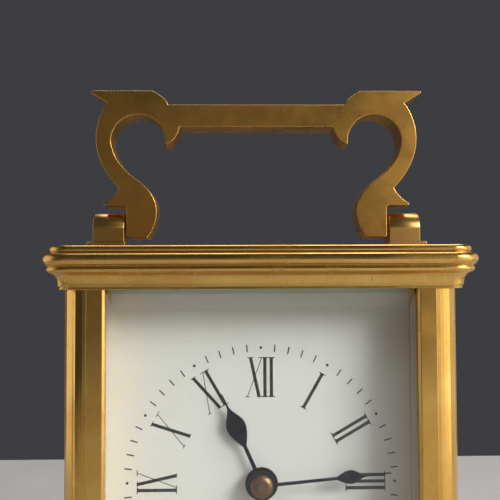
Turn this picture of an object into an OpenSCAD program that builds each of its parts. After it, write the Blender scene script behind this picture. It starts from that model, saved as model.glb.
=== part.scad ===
// Carriage clock with a moulded brass case, folding handle and eight-day lever movement.
// Millimetres. X runs to the viewer's right, Y to the back, Z up. The origin is on the
// resting surface under the middle of the base, and the dial faces -Y.

/* [Case] */
// Width of the base moulding
base_w = 84; // [83:0.5:88]
// Depth of the base moulding
base_d = 72; // [71:0.5:76]
// Height of the base moulding
base_h = 17; // [16:0.5:19]
// Width of the four-pillar frame, outside
frame_w = 73.6; // [73:0.1:74.4]
// Depth of the four-pillar frame, outside
frame_d = 61.6; // [61:0.1:62.4]
// Length of the pillars, from the base to the cornice
pillar_h = 83; // [82.8:0.1:84]
// Height of the cornice moulding
cornice_h = 8; // [8:0.1:8.4]

/* [Handle] */
// Thickness of the handle casting, front to back
handle_t = 7.6; // [6:0.1:8]
// Height of the handle's pivot above the cornice
pivot_rise = 5; // [4.8:0.1:5.4]
// Radius of the handle's pivot pins
pivot_r = 1.2; // [1:0.05:1.5]

/* [Dial and hands] */
// Height of the dial's centre above the resting surface
dial_z = 63; // [62.6:0.1:63.4]
// Length of the minute hand, from the dial's centre
minute_len = 24.5; // [20:0.5:25]
// Length of the hour hand, from the dial's centre
hour_len = 18.5; // [14:0.5:19]
// Angle of the minute hand, clockwise from twelve
minute_at = 84.7; // [0:0.1:360]
// Angle of the hour hand, clockwise from twelve
hour_at = -24; // [-180:0.5:180]

/* [Movement] */
// Width of the two movement plates
plate_w = 50; // [48:0.5:54]
// Thickness of the movement plates
plate_t = 1.8; // [1.6:0.1:2]
// Radius of the balance wheel, outside
balance_r = 8; // [7:0.1:8.2]
// Radial play of a pivot in its hole
play = 0.04; // [0.02:0.01:0.08]

/* [Hidden] */

BRASS = "#b5914a";
PALE_BRASS = "#c9a85c";
STEEL = "#8b8d92";
BLUED = "#1d2233";
ENAMEL = "#eeeae0";
GLASS = [0.75, 0.85, 0.8, 0.35];

$fn = 48;
eps = 0.01;
gap = 0.2;

// Levels of the case
top_z = base_h + pillar_h;
roof_z = top_z + cornice_h;

// Square pillars with a rounded outer corner between two small quirks
pillar_s = 8.2;
pillar_x = frame_w / 2 - pillar_s / 2;
pillar_y = frame_d / 2 - pillar_s / 2;
corner_r = 4.5;
quirk = 0.3;
edge = 0.45;
stud_r = 1.4;
stud_len = 4;

// Glasses stand in grooves in the pillars, the base and the cornice
glass_t = 2;
glass_in = 1.4;
groove = 1;
groove_t = glass_t + 0.1;
bevel_z = 4.4;
bevel_side = 2.2;
bevel_t = 0.9;
open_x = frame_w / 2 - pillar_s;
open_y = frame_d / 2 - pillar_s;

// Window in the roof
roof_x = 24;
roof_y = 17;
roof_rebate = 2.2;
roof_glass_t = 1.8;
roof_lip = 1.4;
well_x = 28;
well_y = 22;

// Recess under the base
recess_x = 35;
recess_y = 29;
floor_t = 4;
floor_z = base_h - floor_t;

// Rear door
door_t = 4;
door_x = open_x - gap;
door_y = frame_d / 2 - door_t / 2;
door_rail = 5.4;
door_z0 = base_h + gap;
door_z1 = top_z - gap;
hinge_x = -(door_x - door_t / 2);
hinge_pin_r = 0.8;
hinge_pin_len = 3;

// Handle: heights above its pivot
pivot_z = roof_z + pivot_rise;
eye_x = 26.1;
eye_z = 19.2;
eye_r = 6;
bar_bottom = 22.4;
bar_top = 27.3;
spur_top = 30.4;
foot_bottom = -2.1;
foot_x = 28.6;
lug_x0 = 29.2;
lug_x1 = 36;
lug_r = 3.5;
flange_t = 2;
flange_lip = 1.2;

// Movement layers, front to back
plate_z0 = 18;
plate_z1 = 89;
front_y1 = -14.7;
front_y0 = front_y1 - plate_t;
back_y0 = 13.2;
back_y1 = back_y0 + plate_t;
dial_y0 = -22;
dial_y1 = -20.5;
dial_x = 30.5;

// Levels of the hands, each from its front face to its back face
hour_y0 = -23.5;
hour_y1 = -23;
minute_y0 = -25.1;
minute_y1 = -24.6;
arbor_tip_y = -26.3;

// Tooth counts and modules, from the barrel to the escape wheel
great_n = 84;
great_m = 0.4;
inter_pinion_n = 14;
inter_n = 56;
inter_m = 0.36;
centre_pinion_n = 14;
centre_n = 80;
centre_m = 0.28;
third_pinion_n = 10;
third_n = 75;
third_m = 0.24;
contrate_pinion_n = 10;
contrate_n = 70;
contrate_m = 0.2;
escape_pinion_n = 7;
escape_n = 15;
cannon_n = 12;
minute_n = 36;
minute_m = 0.35;
minute_pinion_n = 10;
hour_n = 40;
ratchet_n = 30;

// Arbor centres as [x, z], each at its own centre distance from the last
function mesh(n1, n2, m) = (n1 + n2) * m / 2;
function polar(p, d, a) = [p[0] + d * cos(a), p[1] + d * sin(a)];
centre_at = [0, dial_z];
inter_dir = -135.6;
inter_at = polar(centre_at, mesh(inter_n, centre_pinion_n, inter_m), inter_dir);
barrel_dir = -48.5;
barrel_at = polar(inter_at, mesh(great_n, inter_pinion_n, great_m), barrel_dir);
third_dir = 47.6;
third_at = polar(centre_at, mesh(centre_n, third_pinion_n, centre_m), third_dir);
contrate_d = mesh(third_n, contrate_pinion_n, third_m);
contrate_dir = 180 - acos(third_at[0] / contrate_d);
contrate_at = polar(third_at, contrate_d, contrate_dir);
minute_dir = -50;
minute_wheel_at = polar(centre_at, mesh(cannon_n, minute_n, minute_m), minute_dir);
hour_m = 2 * mesh(cannon_n, minute_n, minute_m) / (hour_n + minute_pinion_n);

// Lever platform, on top of the plates
platform_z = plate_z1;
platform_t = 1.4;
platform_top = platform_z + platform_t;
platform_x = 17;
escape_y = -8.5;
escape_r = 3;
escape_z = 91.5;
lever_y = -3.3;
balance_y = 3.2;
balance_z = 94;
cock_z = 96.7;
cock_post_y = 13.5;
crown_r = contrate_n * contrate_m / 2;
crown_y = escape_y + escape_pinion_n * contrate_m / 2;

// Points along an arc, and along a cubic curve
function arc(c, r, a0, a1, n = 10) =
  [for (i = [0:n]) let (a = a0 + (a1 - a0) * i / n) [c[0] + r * cos(a), c[1] + r * sin(a)]];
function curve(a, b, c, d, n = 8) =
  [for (i = [0:n]) let (t = i / n, u = 1 - t)
    u * u * u * a + 3 * u * u * t * b + 3 * u * t * t * c + t * t * t * d];
function mirror_x(pts) = [for (i = [len(pts) - 1:-1:0]) [-pts[i][0], pts[i][1]]];

// Stands a flat shape upright, facing the front, between two depths
module upright(y0, y1) {
  translate([0, y1, 0])
    rotate([90, 0, 0])
      linear_extrude(y1 - y0) children();
}

// A rod along Y at the point p = [x, z]
module rod(p, r, y0, y1) {
  translate([p[0], y1, p[1]])
    rotate([90, 0, 0])
      cylinder(r = r, h = y1 - y0);
}

// A vertical rod at the point p = [x, y]
module post(p, r, z0, z1) {
  translate([p[0], p[1], z0])
    cylinder(r = r, h = z1 - z0);
}

module block(x0, x1, y0, y1, z0, z1) {
  translate([x0, y0, z0])
    cube([x1 - x0, y1 - y0, z1 - z0]);
}

// A moulding run round a rectangle with rounded corners. The profile's points are
// [offset outward from the core, height], and begin and end on the core's centre line.
module moulding(profile, core_x, core_y) {
  outline_x = [for (p = profile) [p[0] + core_x, p[1]]];
  outline_y = [for (p = profile) [p[0] + core_y, p[1]]];
  upright(-core_y, core_y)
    polygon(concat(outline_x, mirror_x(outline_x)));
  rotate([0, 0, 90])
    upright(-core_x, core_x)
      polygon(concat(outline_y, mirror_x(outline_y)));
  for (i = [0:3]) {
    sx = i == 0 || i == 3 ? 1 : -1;
    sy = i < 2 ? 1 : -1;
    translate([sx * core_x, sy * core_y, 0])
      rotate([0, 0, 90 * i])
        rotate_extrude(angle = 90, $fn = 64)
          polygon(profile);
  }
}

// A toothed disc in the flat: root, pitch and tip half-widths are in modules
module teeth(n, m, add, ded, root, pitch, tip) {
  r = n * m / 2;
  half = [[r - ded * m, root], [r, pitch], [r + add * m, tip]];
  polygon([for (i = [0:n - 1], k = [0:5])
    let (p = half[k < 3 ? k : 5 - k],
         side = k < 3 ? -1 : 1,
         a = 360 * i / n + side * p[1] * m / 2 / p[0] * 180 / PI)
      p[0] * [cos(a), sin(a)]]);
}

module wheel_teeth(n, m) teeth(n, m, 1.05, 1.4, 1.75, 1.4, 0.45);
module pinion_teeth(n, m) teeth(n, m, 0.75, 1.5, 1.0, 1.05, 0.4);

// A crossed-out wheel: rim, spokes and hub, with teeth round the rim
module crossed_wheel(n, m, y0, y1, hub, bore, spokes, dir) {
  inner = n * m / 2 - 1.4 * m - 0.9;
  difference() {
    translate([0, y1, 0])
      rotate([90, 0, 0])
        rotate([0, 0, dir])
          linear_extrude(y1 - y0) wheel_teeth(n, m);
    for (i = [0:spokes - 1])
      translate([0, y1 + 1, 0])
        rotate([90, 0, 0])
          rotate([0, 0, 360 * i / spokes + 12])
            linear_extrude(y1 - y0 + 2) spoke_gap(inner, hub, spokes);
    rod([0, 0], bore, y0 - 1, y1 + 1);
  }
}

module spoke_gap(outer, inner, spokes) {
  half = 180 / spokes;
  edge_in = asin(0.6 / inner);
  edge_out = asin(0.45 / outer);
  polygon(concat(
    arc([0, 0], outer, edge_out - half, half - edge_out, 8),
    arc([0, 0], inner, half - edge_in, edge_in - half, 4)));
}

module pinion(n, m, y0, y1, bore, dir) {
  difference() {
    translate([0, y1, 0])
      rotate([90, 0, 0])
        rotate([0, 0, dir])
          linear_extrude(y1 - y0) pinion_teeth(n, m);
    rod([0, 0], bore, y0 - 1, y1 + 1);
  }
}

module screw_head(r, h) {
  difference() {
    cylinder(r = r, h = h);
    translate([-r - 1, -0.2, h * 0.55])
      cube([2 * r + 2, 0.4, h]);
  }
}

// ---- Case ----

base_core_x = 34;
base_core_y = base_core_x - (base_w - base_d) / 2;
plinth = base_w / 2 - base_core_x;
neck = 4.4;
base_profile = concat(
  [[0, 0], [plinth - 0.5, 0], [plinth, 0.5], [plinth, 3.4], [plinth - 0.5, 3.9],
   [plinth - 1.1, 3.9]],
  arc([plinth - 1.1, 4.9], 0.9, -80, 80, 6),
  [[plinth - 1.6, 5.9]],
  curve([plinth - 1.6, 6.2], [plinth - 1.9, 9], [neck + 0.6, 9.4], [neck, 11.8]),
  [[neck + 0.5, 12.1]],
  arc([neck + 0.6, 13], 0.8, -80, 80, 6),
  [[neck, 13.9], [neck, 14.3], [neck + 0.7, 14.5], [neck + 0.7, base_h - 0.3],
   [neck + 0.4, base_h], [0, base_h]]);

module base() {
  color(BRASS)
    difference() {
      moulding(base_profile, base_core_x, base_core_y);
      block(-recess_x, recess_x, -recess_y, recess_y, -1, floor_z);
      glass_slots(base_h - groove, base_h + 1);
      for (x = [-pillar_x, pillar_x], y = [-pillar_y, pillar_y])
        post([x, y], case_screw_r + 0.1, floor_z - 1, base_h + 1);
      for (x = [-movement_x, movement_x])
        post([x, 0], movement_screw_r + 0.1, floor_z - 1, base_h + 1);
      post([hinge_x, door_y], hinge_pin_r, base_h - hinge_pin_len, base_h + 1);
    }
}

// Grooves for the front glass and the two side glasses
module glass_slots(z0, z1) {
  y_out = -frame_d / 2 + glass_in;
  x_out = frame_w / 2 - glass_in;
  block(-open_x - groove, open_x + groove, y_out, y_out + groove_t, z0, z1);
  for (s = [-1, 1])
    scale([s, 1, 1])
      block(x_out - groove_t, x_out, -open_y - groove, open_y + groove, z0, z1);
}

cornice_core_x = 35;
cornice_core_y = 29;
// Offsets of the mouldings from the core: lower fillet, cove, small, great and top bead
cornice_profile = concat(
  [[0, top_z], [2.2, top_z], [2.2, top_z + 0.5]],
  curve([2.4, top_z + 0.5], [2.5, top_z + 2], [3, top_z + 2.8], [3.9, top_z + 3]),
  arc([4, top_z + 3.65], 0.55, -80, 60, 5),
  arc([4.05, top_z + 5.45], 1.15, -65, 75, 10),
  arc([3.2, roof_z - 0.75], 0.75, -40, 80, 7),
  [[0, roof_z]]);

module case_top() {
  color(BRASS)
    difference() {
      moulding(cornice_profile, cornice_core_x, cornice_core_y);
      block(-roof_x, roof_x, -roof_y, roof_y, top_z - 1, roof_z + 1);
      block(-roof_x - roof_rebate, roof_x + roof_rebate, -roof_y - roof_rebate,
            roof_y + roof_rebate, top_z - 1, roof_z - roof_lip);
      block(-well_x, well_x, -well_y, well_y, top_z - 1, roof_z - roof_lip - roof_glass_t);
      glass_slots(top_z - 1, top_z + groove);
      for (x = [-pillar_x, pillar_x], y = [-pillar_y, pillar_y])
        post([x, y], stud_r + 0.1, top_z - 1, top_z + stud_len + 0.3);
      for (s = [-1, 1])
        post([s * (lug_x0 + lug_x1) / 2, 0], lug_stud_r + 0.1, top_z + 2.5, roof_z + 1);
      post([hinge_x, door_y], hinge_pin_r, top_z - 1, top_z + hinge_pin_len);
    }
}

// The roof window is bedded in its rebate from below
module top_glass() {
  x = roof_x + roof_rebate - 0.1;
  y = roof_y + roof_rebate - 0.1;
  z1 = roof_z - roof_lip;
  z0 = z1 - roof_glass_t;
  color(GLASS)
    intersection() {
      upright(-y, y)
        polygon([[-x, z0], [x, z0], [x, z1 - bevel_t], [roof_x - 3, z1], [3 - roof_x, z1],
                 [-x, z1 - bevel_t]]);
      rotate([0, 0, 90])
        upright(-x, x)
          polygon([[-y, z0], [y, z0], [y, z1 - bevel_t], [roof_y - 3, z1], [3 - roof_y, z1],
                   [-y, z1 - bevel_t]]);
    }
}

// Outline of a pillar, with its rounded corner towards +X +Y and grooves for two glasses
module pillar_shape(front_groove, side_groove) {
  s = pillar_s;
  difference() {
    polygon(concat(
      [[0, 0], [s - edge, 0], [s, edge], [s, s - corner_r - quirk],
       [s - quirk, s - corner_r - quirk]],
      arc([s - quirk - corner_r, s - quirk - corner_r], corner_r, 0, 90, 10),
      [[s - corner_r - quirk, s], [edge, s], [0, s - edge]]));
    if (front_groove)
      translate([-1, s - glass_in - groove_t])
        square([1 + groove, groove_t]);
    if (side_groove)
      translate([s - glass_in - groove_t, -1])
        square([groove_t, 1 + groove]);
  }
}

case_screw_r = 1.3;
case_screw_len = 9;

module pillar(sx, sy, front_groove) {
  color(BRASS)
    difference() {
      union() {
        translate([0, 0, base_h])
          scale_sign(sx, sy)
            translate([open_x, open_y, 0])
              linear_extrude(pillar_h) pillar_shape(front_groove, true);
        post([sx * pillar_x, sy * pillar_y], stud_r, top_z - 1, top_z + stud_len);
      }
      post([sx * pillar_x, sy * pillar_y], case_screw_r + 0.02, base_h - 1,
           base_h + case_screw_len);
    }
}

// Mirrors a corner piece into one of the four corners
module scale_sign(sx, sy) {
  mirror([sx < 0 ? 1 : 0, 0, 0])
    mirror([0, sy < 0 ? 1 : 0, 0])
      children();
}

module pillar_front_left() pillar(-1, -1, true);
module pillar_front_right() pillar(1, -1, true);
module pillar_rear_left() pillar(-1, 1, false);
module pillar_rear_right() pillar(1, 1, false);

// A glass panel lying in XY, bevelled on its upper face along all four edges
module bevelled_panel(half_w, half_h) {
  t = glass_t;
  intersection() {
    rotate([90, 0, 0])
      translate([0, 0, -half_h])
        linear_extrude(2 * half_h)
          polygon([[-half_w, 0], [half_w, 0], [half_w, t - bevel_t],
                   [half_w - bevel_side, t], [bevel_side - half_w, t],
                   [-half_w, t - bevel_t]]);
    rotate([90, 0, 90])
      translate([0, 0, -half_w])
        linear_extrude(2 * half_w)
          polygon([[-half_h, 0], [half_h, 0], [half_h, t - bevel_t],
                   [half_h - bevel_z, t], [bevel_z - half_h, t],
                   [-half_h, t - bevel_t]]);
  }
}

glass_mid_z = (base_h + top_z) / 2;
glass_half_h = pillar_h / 2 + groove - 0.05;

module front_glass() {
  color(GLASS)
    translate([0, -frame_d / 2 + glass_in + glass_t + 0.05, glass_mid_z])
      rotate([90, 0, 0])
        bevelled_panel(open_x + groove - 0.05, glass_half_h);
}

module side_glass(s) {
  color(GLASS)
    scale_sign(s, 1)
      translate([frame_w / 2 - glass_in - glass_t - 0.05, 0, glass_mid_z])
        rotate([90, 0, 90])
          bevelled_panel(open_y + groove - 0.05, glass_half_h);
}

module left_glass() side_glass(-1);
module right_glass() side_glass(1);

// Screws up through the floor of the base into the pillars
module case_screws() {
  color(STEEL)
    for (x = [-pillar_x, pillar_x], y = [-pillar_y, pillar_y])
      translate([x, y, 0]) {
        post([0, 0], case_screw_r, floor_z - eps, base_h + case_screw_len - 1);
        translate([0, 0, floor_z])
          rotate([180, 0, 0])
            screw_head(2.1, 1.4);
      }
}

// ---- Rear door ----

module door_frame() {
  x_in = door_x - door_rail;
  z_in0 = door_z0 + door_rail;
  z_in1 = door_z1 - door_rail;
  color(BRASS)
    difference() {
      union() {
        block(hinge_x, door_x, door_y - door_t / 2, door_y + door_t / 2, door_z0, door_z1);
        post([hinge_x, door_y], door_t / 2, door_z0, door_z1);
      }
      block(-x_in, x_in, 0, frame_d, z_in0, z_in1);
      block(-x_in - 1, x_in + 1, 0, door_y + 0.6, z_in0 - 1, z_in1 + 1);
      post([hinge_x, door_y], hinge_pin_r + 0.05, door_z0 - 1, door_z0 + hinge_pin_len);
      post([hinge_x, door_y], hinge_pin_r + 0.05, door_z1 - hinge_pin_len, door_z1 + 1);
      rod([door_x - 2.6, glass_mid_z], knob_shank_r + 0.02, 0, frame_d);
    }
}

// The door's glass sits in a rebate on the inner face
module door_glass() {
  x = door_x - door_rail + 0.9;
  z = (door_z1 - door_z0) / 2 - door_rail + 0.9;
  color(GLASS)
    translate([0, door_y + 0.55 - glass_t, (door_z0 + door_z1) / 2])
      rotate([90, 0, 180])
        bevelled_panel(x, z);
}

knob_shank_r = 1;

// A turned knob with a shank through the door's stile
module door_knob() {
  y0 = door_y + door_t / 2;
  color(BRASS)
    translate([door_x - 2.6, y0, glass_mid_z])
      rotate([-90, 0, 0])
        rotate_extrude()
          polygon(concat(
            [[0, -door_t], [knob_shank_r, -door_t], [knob_shank_r, 0], [1.7, 0], [1.7, 0.5],
             [0.9, 0.9], [0.9, 1.5]],
            arc([0, 2.9], 1.75, -50, 80, 10),
            [[0, 4.65]]));
}

module door_hinge_pins() {
  color(STEEL) {
    post([hinge_x, door_y], hinge_pin_r, base_h - hinge_pin_len + 0.1,
         door_z0 + hinge_pin_len - 0.4);
    post([hinge_x, door_y], hinge_pin_r, door_z1 - hinge_pin_len + 0.4,
         top_z + hinge_pin_len - 0.1);
  }
}

// ---- Handle ----

// Right half of the handle's outline, heights measured from the pivot
handle_half = concat(
  curve([19.5, bar_top], [19.7, 28.5], [21.4, 29.5], [23, spur_top], 6),
  [[36.5, spur_top], [36.6, spur_top - 0.4]],
  curve([32.8, 27.7], [34.5, 25.6], [35.4, 22.6], [35.4, 19.7]),
  curve([35.4, 19.7], [35.4, 15.4], [33, 11.6], [30.3, 8.8]),
  curve([30.3, 8.8], [30.9, 7.4], [32.2, 6.2], [33.6, 5.4], 5),
  [[33.5, 4.9], [foot_x + 0.3, 4.9], [foot_x, 4.4], [foot_x, foot_bottom + 0.4],
   [foot_x - 0.4, foot_bottom], [24.3, foot_bottom]],
  curve([24.1, foot_bottom], [22.9, -0.7], [22, 1.4], [22, 3.7], 7),
  curve([22, 3.7], [22, 6.6], [23.9, 9], [26.6, 10.9]),
  curve([26.6, 10.9], [29.6, 13], [31.6, 15.6], [eye_x + eye_r, eye_z]),
  arc([eye_x, eye_z], eye_r, 12, 187, 15),
  curve([19.9, 18.5], [18.4, 19], [17.3, 20.5], [17, bar_bottom], 6));

module handle() {
  color(BRASS)
    translate([0, 0, pivot_z])
      difference() {
        upright(-handle_t / 2, handle_t / 2)
          polygon(concat(handle_half, mirror_x(handle_half)));
        for (s = [-1, 1])
          translate([s * foot_x, 0, 0])
            rotate([0, 90, 0])
              cylinder(r = pivot_r + play, h = 9, center = true);
      }
}

lug_stud_r = 1.2;

// A knuckle on a small flange, held by a stud that screws into the cornice
module handle_lug(s) {
  mid = (lug_x0 + lug_x1) / 2;
  flange_top = flange_t - pivot_rise;
  color(PALE_BRASS)
    translate([0, 0, pivot_z])
      scale_sign(s, 1) {
        difference() {
          union() {
            translate([lug_x0, 0, 0])
              rotate([0, 90, 0])
                cylinder(r = lug_r, h = lug_x1 - lug_x0);
            block(lug_x0, lug_x1, -lug_r, lug_r, flange_top - eps, 0);
            block(lug_x0 - 0.3, lug_x1 + flange_lip, -4.6, 4.6, -pivot_rise, flange_top);
            post([mid, 0], lug_stud_r, -pivot_rise - 4.5, -pivot_rise + 1);
          }
          translate([lug_x0 - 1, 0, 0])
            rotate([0, 90, 0])
              cylinder(r = pivot_r, h = lug_x1 - lug_x0 + 2);
        }
      }
}

module handle_lug_left() handle_lug(-1);
module handle_lug_right() handle_lug(1);

module handle_pivot_pins() {
  color(STEEL)
    for (s = [-1, 1])
      translate([s * (lug_x1 + 25) / 2, 0, pivot_z])
        rotate([0, 90, 0])
          cylinder(r = pivot_r, h = lug_x1 - 25 - 0.2, center = true);
}

// ---- Dial and hands ----

dial_feet = [[-19, 30], [19, 30], [-14, 80]];
dial_foot_r = 0.9;
dial_hole_r = 2.6;

module dial() {
  color(ENAMEL)
    difference() {
      union() {
        block(-dial_x, dial_x, dial_y0, dial_y1, base_h + 0.3, top_z - 0.3);
        for (p = dial_feet)
          rod(p, dial_foot_r, dial_y1 - eps, front_y1);
      }
      rod(centre_at, dial_hole_r, dial_y0 - 1, dial_y1 + 1);
    }
}

// Outline of a pear-shaped hand pointing to twelve, with a round boss
module pear_hand(len, pear_d, pear_r, shaft, boss, bore) {
  neck_d = pear_d - 2.1 * pear_r;
  half = concat(
    [[shaft / 2, 0]],
    curve([shaft * 0.4, neck_d], [pear_r * 0.5, neck_d + pear_r * 0.5],
          [pear_r, pear_d - pear_r * 0.7], [pear_r, pear_d], 6),
    curve([pear_r * 0.995, pear_d + pear_r * 0.1], [pear_r, pear_d + pear_r * 0.8],
          [pear_r * 0.35, pear_d + pear_r * 1.3], [0.22, pear_d + pear_r * 2.1], 6),
    [[0.08, len]]);
  difference() {
    union() {
      circle(r = boss);
      polygon(concat(half, mirror_x(half)));
    }
    circle(r = bore);
  }
}

module place_hand(angle) {
  translate([0, 0, dial_z])
    rotate([0, angle, 0])
      children();
}

hour_pipe_r = 2.1;
hour_bore_r = 1.52;
cannon_pipe_r = 1.45;
centre_r = 0.8;

module hour_hand() {
  color(BLUED)
    place_hand(hour_at)
      upright(hour_y0, hour_y1)
        pear_hand(hour_len, 11.7, 1.86, 0.85, 3.1, hour_pipe_r);
}

module minute_hand() {
  color(BLUED)
    place_hand(minute_at)
      upright(minute_y0, minute_y1)
        pear_hand(minute_len, 16.8, 1.25, 0.62, 2.7, cannon_pipe_r);
}

// A domed collet that keeps the minute hand on the cannon pinion's pipe
module hand_collet() {
  color(BRASS)
    translate([0, minute_y0, dial_z])
      rotate([90, 0, 0])
        rotate_extrude()
          polygon(concat([[centre_r + 0.01, 0], [2.15, 0], [2.15, 0.25]],
                         curve([2.1, 0.35], [1.8, 0.8], [1.4, 0.95], [centre_r + 0.01, 1])));
}

// ---- Plates ----

pivot_small = 0.35;
pivot_mid = 0.5;
movement_x = 21.5;
pillar_low_z = 21;
pillar_high_z = 84.5;
pillar_points = [[-movement_x, pillar_low_z], [movement_x, pillar_low_z],
                 [-movement_x, pillar_high_z], [movement_x, pillar_high_z]];
barrel_front_r = 1.6;
barrel_back_r = 2.2;

module plate(y0, y1) {
  block(-plate_w / 2, plate_w / 2, y0, y1, plate_z0, plate_z1);
}

module plate_holes(y0, y1) {
  rod(inter_at, pivot_mid + play, y0 - 1, y1 + 1);
  rod(third_at, pivot_small + play, y0 - 1, y1 + 1);
  rod(contrate_at, pivot_small + play, y0 - 1, y1 + 1);
  for (p = pillar_points)
    rod(p, pillar_screw_r + 0.05, y0 - 1, y1 + 1);
}

module front_plate() {
  color(PALE_BRASS)
    difference() {
      plate(front_y0, front_y1);
      plate_holes(front_y0, front_y1);
      rod(centre_at, centre_r + play, front_y0 - 1, front_y1 + 1);
      rod(barrel_at, barrel_front_r + play, front_y0 - 1, front_y1 + 1);
      rod(minute_wheel_at, 0.7, front_y0 - 1, front_y1 + 1);
      for (p = dial_feet)
        rod(p, dial_foot_r + 0.05, front_y0 - 1, front_y1 + 1);
      for (p = [platform_points[0], platform_points[1]])
        post(p, platform_screw_r + 0.02, plate_z1 - 3, plate_z1 + 1);
    }
}

module back_plate() {
  color(PALE_BRASS)
    difference() {
      plate(back_y0, back_y1);
      plate_holes(back_y0, back_y1);
      rod(centre_at, centre_r + 0.2 + play, back_y0 - 1, back_y1 + 1);
      rod(barrel_at, barrel_back_r + play, back_y0 - 1, back_y1 + 1);
      rod(click_at, click_pin_r + 0.02, back_y0 - 1, back_y1 + 1);
      rod(spring_at, 0.52, back_y0 - 1, back_y1 + 1);
      for (p = bridge_points)
        rod(p, 0.52, back_y0 - 1, back_y1 + 1);
      for (p = [platform_points[2], platform_points[3]])
        post(p, platform_screw_r + 0.02, plate_z1 - 3, plate_z1 + 1);
    }
}

pillar_screw_r = 0.8;
movement_screw_r = 1.1;

// Four turned pillars between the plates; the lower two have feet on the base
module movement_pillars() {
  color(PALE_BRASS)
    for (p = pillar_points)
      difference() {
        union() {
          rod(p, 2.1, front_y1, back_y0);
          if (p[1] == pillar_low_z)
            block(p[0] - 3, p[0] + 3, -3.5, 3.5, base_h, pillar_low_z + 1);
        }
        rod(p, pillar_screw_r + 0.02, front_y1 - 1, front_y1 + 5);
        rod(p, pillar_screw_r + 0.02, back_y0 - 5, back_y0 + 1);
        if (p[1] == pillar_low_z)
          post([p[0], 0], movement_screw_r + 0.02, base_h - 1, base_h + 4);
      }
}

module pillar_screws() {
  color(BLUED)
    for (p = pillar_points) {
      rod(p, pillar_screw_r, front_y0 - eps, front_y1 + 4.5);
      translate([p[0], front_y0, p[1]])
        rotate([90, 0, 0])
          screw_head(1.9, 0.9);
      rod(p, pillar_screw_r, back_y0 - 4.5, back_y1 + eps);
      translate([p[0], back_y1, p[1]])
        rotate([-90, 0, 0])
          screw_head(1.9, 0.9);
    }
}

// Screws up through the base into the feet of the movement
module movement_screws() {
  color(STEEL)
    for (x = [-movement_x, movement_x]) {
      post([x, 0], movement_screw_r, floor_z - eps, base_h + 3.5);
      translate([x, 0, floor_z])
        rotate([180, 0, 0])
          screw_head(2.2, 1.4);
    }
}

// ---- Going barrel and winding work ----

drum_r = 15.2;
drum_wall = 0.7;
drum_y0 = -13.4;
drum_y1 = 5.5;
great_y0 = 4;
arbor_r = 2;
hub_r = 3;

module at_rod(p) {
  translate([p[0], 0, p[1]])
    children();
}

// Drum with the great wheel round its back end, open at the front
module barrel() {
  color(PALE_BRASS)
    difference() {
      union() {
        rod(barrel_at, drum_r, drum_y0, drum_y1);
        at_rod(barrel_at)
          translate([0, drum_y1, 0])
            rotate([90, 0, 0])
              rotate([0, 0, 180 + barrel_dir])
                linear_extrude(drum_y1 - great_y0) wheel_teeth(great_n, great_m);
      }
      rod(barrel_at, drum_r - drum_wall, drum_y0 - 1, great_y0);
      rod(barrel_at, arbor_r + play, drum_y0 - 1, drum_y1 + 1);
    }
}

module barrel_cover() {
  color(PALE_BRASS)
    difference() {
      rod(barrel_at, drum_r - drum_wall - 0.02, drum_y0, drum_y0 + 1);
      rod(barrel_at, arbor_r + play, drum_y0 - 1, drum_y0 + 2);
    }
}

// Arbor with a hub for the spring, pivots in both plates and the winding square
module barrel_arbor() {
  color(STEEL) {
    rod(barrel_at, barrel_front_r, front_y0, front_y1 + 0.3);
    rod(barrel_at, arbor_r, front_y1 + 0.3 - eps, back_y0);
    rod(barrel_at, hub_r, drum_y0 + 1.4, great_y0 - 0.4);
    rod(barrel_at, barrel_back_r, back_y0 - 3, back_y1 + 3.4);
    at_rod(barrel_at)
      block(-square_s / 2, square_s / 2, back_y1 + 3, square_end, -square_s / 2, square_s / 2);
  }
}

square_s = 2.8;
square_end = 23;
spring_turns = 9;
spring_in = 3.5;
spring_pitch = 1.05;
spring_t = 0.45;

function spiral(r0, pitch, turns, steps) =
  [for (i = [0:turns * steps]) let (a = 360 * i / steps)
    (r0 + pitch * a / 360) * [cos(a), sin(a)]];

// The mainspring, wound from beside the hub to the drum's wall
module mainspring() {
  inner = spiral(spring_in, spring_pitch, spring_turns, 24);
  outer = spiral(spring_in + spring_t, spring_pitch, spring_turns, 24);
  color(STEEL)
    at_rod(barrel_at)
      upright(drum_y0 + 1.6, great_y0 - 0.6)
        polygon(concat(inner, [for (i = [len(outer) - 1:-1:0]) outer[i]]));
}

ratchet_r = 8;
ratchet_y0 = back_y1 + 0.3;
ratchet_y1 = ratchet_y0 + 1.3;

module ratchet_wheel() {
  color(STEEL)
    at_rod(barrel_at)
      difference() {
        upright(ratchet_y0, ratchet_y1)
          polygon([for (i = [0:ratchet_n - 1], k = [0:1])
            (k == 0 ? ratchet_r : ratchet_r - 0.9) *
              [cos(360 * (i + 0.1 * k) / ratchet_n), sin(360 * (i + 0.1 * k) / ratchet_n)]]);
        rod([0, 0], barrel_back_r, ratchet_y0 - 1, ratchet_y1 + 1);
      }
}

click_pin_r = 0.9;
click_at = polar(barrel_at, 12.6, 62);
click_tip = polar([0, 0], 8.35, 24);
spring_at = polar(barrel_at, 17.5, 44);
bridge_points = [polar(barrel_at, 12.5, 180), polar(barrel_at, 12.5, 0)];

// The click rests just clear of the ratchet's tips, so both can turn
module click() {
  c = click_at - barrel_at;
  color(STEEL)
    at_rod(barrel_at)
      difference() {
        upright(ratchet_y0, ratchet_y1)
          union() {
            translate(c)
              circle(r = 2);
            polygon([c + [1.6, -1.2], c + [-1.9, -0.6], click_tip + [0.2, 1.3], click_tip,
                     click_tip + [1.1, 0.5]]);
          }
        rod(c, click_pin_r + play, ratchet_y0 - 1, ratchet_y1 + 1);
      }
}

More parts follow.
